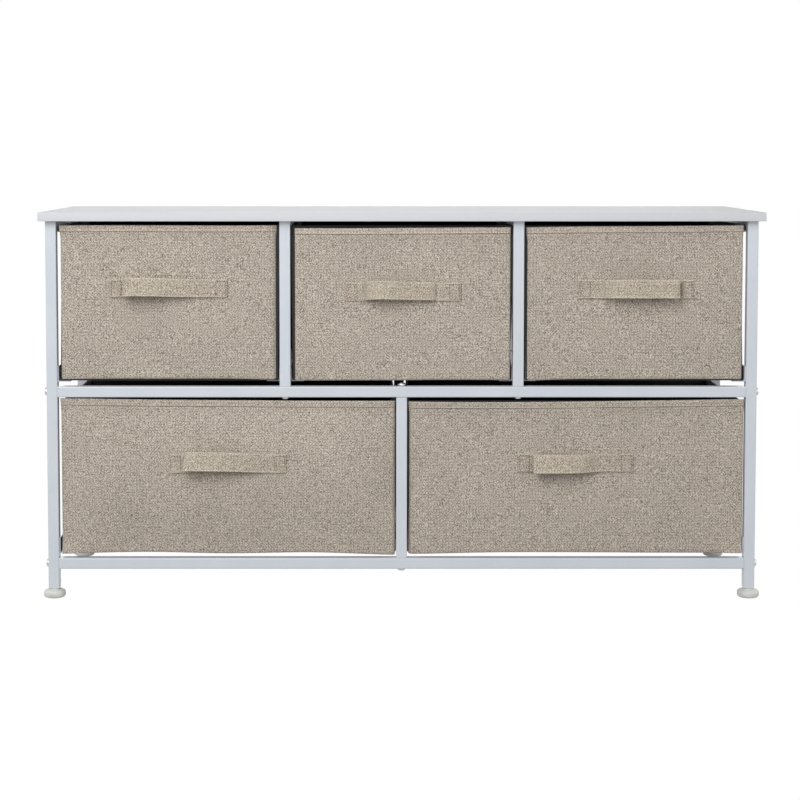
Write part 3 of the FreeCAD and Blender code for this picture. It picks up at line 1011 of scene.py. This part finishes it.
for drawer, hang in fronts.items():
    low, high = box_of(f"{drawer}_front")
    left, right = low.x + hang["inset"][0] * mm, high.x - hang["inset"][1] * mm
    curved_left, curved_right = (width * mm for width in hang["curved"])
    plain_left, plain_width = left + curved_left, right - left - curved_left - curved_right
    plain_columns = round(plain_width / column_spacing)
    columns = [left + curved_left * step for step in edge_steps]
    columns += [plain_left + plain_width * n / plain_columns for n in range(1, plain_columns)]
    columns += [right - curved_right * step for step in reversed(edge_steps)]

    width, tall = high.x - low.x, high.z - low.z
    below_hem = hem_rows[-1][0] * mm
    plain_tall = tall - below_hem - bottom_roll
    plain_rows = round(plain_tall / row_spacing)
    rows = [(down * mm, proud * mm) for down, proud in hem_rows]
    rows += [(below_hem + plain_tall * n / plain_rows, 0.0) for n in range(1, plain_rows)]
    rows += [(tall - bottom_roll * step, 0.0) for step in reversed(edge_steps)]

    cover = start_cloth(len(columns), len(rows))
    for vertex, column, row in points_of(cover, len(columns), len(rows)):
        x, (down, hem_proud) = columns[column], rows[-1 - row]
        share, down_share = (x - left) / (right - left), down / tall
        top_up, bottom_up = (through(hang[edge], share) * mm for edge in ("top_up", "bottom_up"))
        z = high.z - down + top_up * (1 - down_share) ** 2 + bottom_up * down_share**2
        face = cloth_face(drawer, x, z) - hem_proud
        for reached, reach, turned in (
            (x - left, curved_left, side_turned), (right - x, curved_right, side_turned),
            (tall - down, bottom_roll, bottom_turned),
        ):
            face += turned * reach * max(0.0, 1 - reached / reach) ** turned_power
        past_left, past_right = (past * mm for past in hang["hem_past"])
        past = past_right * share**hem_past_power - past_left * (1 - share) ** hem_past_power
        vertex.co = (x + past * max(0.0, 1 - down / hem_fades), face, z)
    hem_count = sum(down < hem_groove for down, _ in hem_rows)
    # The upper drawers' hems get the paler copy, painted light against the board's shadow.
    lit_hem_rows = range(len(rows) - hem_count, len(rows)) if drawer.startswith("upper") else ()
    made_up(
        cover, len(columns), (front_linen, lit_hem_linen), lit_hem_rows,
        thickness=front_thickness - cloth_thickness, side=-1, rounding=1.0 * mm,
    )
    front = finished(
        f"{drawer}_linen_front", drawer, [f"{drawer}_front"], smooth_angle=60
    )

    # A lower front hangs below its runner's shelf, so its outer corner is pressed thin there and
    # stands in front of the runner's end.
    if drawer.startswith("lower"):
        runner_low, runner_high = box_of("left_lower_runner")
        back = max(vertex.co.y for vertex in front.data.vertices)
        for vertex in front.data.vertices:
            beside = abs(vertex.co.x) + runner_high.x + press_beside
            above = vertex.co.z - runner_low.z - press_above
            pressed = clamped(1 + beside / press_fades) * clamped(1 - above / press_fades)
            thin = runner_low.y - press_gap + pressed_share * (vertex.co.y - back)
            vertex.co.y += pressed * min(0.0, thin - vertex.co.y)

    seam_share = seam_down / tall
    seam_points = []
    for n in range(seam_parts + 1):
        x = plain_left + plain_width * n / seam_parts
        top_up = through(hang["top_up"], (x - left) / (right - left)) * mm
        z = high.z - seam_down + top_up * (1 - seam_share) ** 2
        seam_points.append(on_cloth(drawer, x, z, seam_proud))
    # The hem's stitches are pale: a painted highlight along its ridge.
    stitched(zip(seam_points, seam_points[1:])).data.materials.append(ridge_highlight_thread)
    seam = finished(f"{drawer}_hem_seam", drawer, smooth_angle=60)

# ================================================================== strap handles
# A strap of the same linen, folded double, with both ends sewn to the front in a small box of
# stitches. It is longer than the space between its ends, so it stands out in a slack loop.

strap_edge_turned = 0.7 * mm
strap_tab, tab_flat_share = 18 * mm, 0.55
strap_layers, strap_rounding, strap_gap = 2.2 * mm, 0.8 * mm, 0.05 * mm
strap_reach = 1.46
strap_steps = 56
# The fold stands out in full on the loop, and by this share where the strap is sewn down.
sewn_fold_share = 0.6
stitch_inset, stitch_proud, strap_stitch_radius = 2.0 * mm, 0.1 * mm, 0.5 * mm
# Beyond a strap's right end, a row of dark stitches is painted shadow, the line the strap's end
# casts: how far to the right and how far below it.
shadow_line_right, shadow_line_below = 0.3 * mm, 0.2 * mm
# Across a strap, from its lower to its upper edge: the share of its width, and how far the fold
# there stands out, in mm.
strap_section = (
    (0.0, 0.9), (0.055, 0.8), (0.1, 0.2), (0.18, 0.0), (0.34, -0.2), (0.5, -0.3), (0.66, -0.2),
    (0.82, 0.0), (0.9, -0.1), (0.95, -0.5), (1.0, -1.1),
)
# For each strap, in mm. moved: how far to the right of its place and above it. longer: by how
# much. lifted: how far up its slack loop hangs. skewed: how far the loop's upper edge is pushed to
# the right of its lower one. leaning: the share of the loop's depth by which that edge lies
# further back. course: where the loop goes between its sewn ends, as shares of the space between
# them and of its full depth.
straps = {
    "upper_left_drawer": {
        "moved": (0.0, 2.4), "longer": 2.0, "lifted": 2.9, "skewed": 3.2, "leaning": 0.04,
        "course": ((0.08, 0.02), (0.09, 0.4), (0.045, 1.0), (0.33, 0.92), (0.55, 0.5), (0.8, 0.12)),
    },
    "upper_middle_drawer": {
        "moved": (2.2, -2.4), "longer": 0.0, "lifted": 3.4, "skewed": 0.0, "leaning": 0.05,
        "course": (
            (0.07, 0.04), (0.13, 0.7), (0.28, 1.0), (0.55, 0.55), (0.81, 0.32), (0.87, 0.02),
        ),
    },
    "upper_right_drawer": {
        "moved": (1.6, 1.2), "longer": -1.6, "lifted": 1.2, "skewed": 0.0, "leaning": 0.04,
        "course": (
            (0.12, 0.06), (0.27, 0.85), (0.5, 1.0), (0.75, 0.88), (0.955, 0.85), (0.935, 0.35),
            (0.92, 0),
        ),
    },
    "lower_left_drawer": {
        "moved": (0.4, 0.5), "longer": 2.0, "lifted": 5.2, "skewed": 5.2, "leaning": 0.1,
        "course": (
            (0.085, 0.02), (0.095, 0.4), (0.05, 1.0), (0.33, 0.94), (0.6, 0.6), (0.88, 0.06),
        ),
    },
    "lower_right_drawer": {
        "moved": (-0.8, 0.0), "longer": 0.2, "lifted": 0.6, "skewed": 0.4, "leaning": 0.05,
        "course": ((0.085, 0.02), (0.09, 0.4), (0.042, 1.0), (0.3, 1.0), (0.55, 0.8), (0.76, 0.06)),
    },
}

for drawer, strap in straps.items():
    low, high = box_of(f"{drawer}_handle")
    moved = Vector((strap["moved"][0] * mm, 0, strap["moved"][1] * mm))
    low, high = low + moved, high + moved + Vector((strap["longer"] * mm, 0, 0))
    low.z, high.z = low.z + strap_edge_turned, high.z - strap_edge_turned
    width = high.z - low.z
    depth = strap_reach * (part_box(f"{drawer}_front")[0][1] - low.y - strap_layers)
    loose = high.x - low.x - 2 * strap_tab
    course = [Vector(stop) for stop in ((0, 0), *strap["course"], (1, 0))]
    line = [(low.x, 0.0), (low.x + strap_tab * tab_flat_share, 0.0)]
    for step in range(strap_steps + 1):
        share, out = through(course, step / strap_steps)
        line.append((low.x + strap_tab + loose * share, max(0.0, out) * depth))
    line += [(high.x - strap_tab * tab_flat_share, 0.0), (high.x, 0.0)]

    band = start_cloth(len(line), len(strap_section))
    # This attribute marks where the strap lies flat, for the painted shade on its sewn-down ends.
    sewn_down_shade = band.data.attributes.new("sewn_down_shade", "FLOAT", "POINT")
    for vertex, column, row in points_of(band, len(line), len(strap_section)):
        (x, out), (up_share, fold) = line[column], strap_section[row]
        slack = out / depth
        sewn_down_shade.data[vertex.index].value = max(0.0, 1 - 2 * slack)
        z = low.z + width * up_share
        face = cloth_face(drawer, x, z) - strap_gap - fold * mm * max(sewn_fold_share, slack)
        x += strap["skewed"] * mm * (up_share - 0.5) * min(1.0, 2 * slack)
        out *= 1 - strap["leaning"] * up_share
        vertex.co = (x, face - out, z + strap["lifted"] * mm * slack)
    # The strap's lower and upper rim rows get the paler copy, a painted highlight.
    made_up(
        band, len(line), (strap_linen, highlit_rim_linen), (0, len(strap_section) - 2),
        thickness=strap_layers, side=1, rounding=strap_rounding,
    )
    handle = finished(
        f"{drawer}_linen_strap", drawer, [f"{drawer}_handle"], smooth_angle=60
    )

    stitch_and_shadow_lines = []
    for tab_left in (low.x, high.x - strap_tab):
        xs = (tab_left + stitch_inset, tab_left + strap_tab - stitch_inset)
        zs = (low.z + stitch_inset, high.z - stitch_inset)
        corners = [
            on_cloth(drawer, x, z, strap_layers + stitch_proud)
            for x, z in ((xs[0], zs[0]), (xs[1], zs[0]), (xs[1], zs[1]), (xs[0], zs[1]))
        ]
        stitch_and_shadow_lines += zip(corners, corners[1:] + corners[:1])
    # Painted shadow: brown stitches just past the strap's right end stand for the dark line its end
    # casts.
    shadow_line_x = high.x + shadow_line_right
    stitch_and_shadow_lines.append([on_cloth(drawer, shadow_line_x, z) for z in (low.z - shadow_line_below, high.z)])
    stitched(stitch_and_shadow_lines, strap_stitch_radius).data.materials.append(brown_thread)
    seam = finished(f"{drawer}_strap_seams_and_shadow_line", drawer, smooth_angle=60)

low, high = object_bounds()
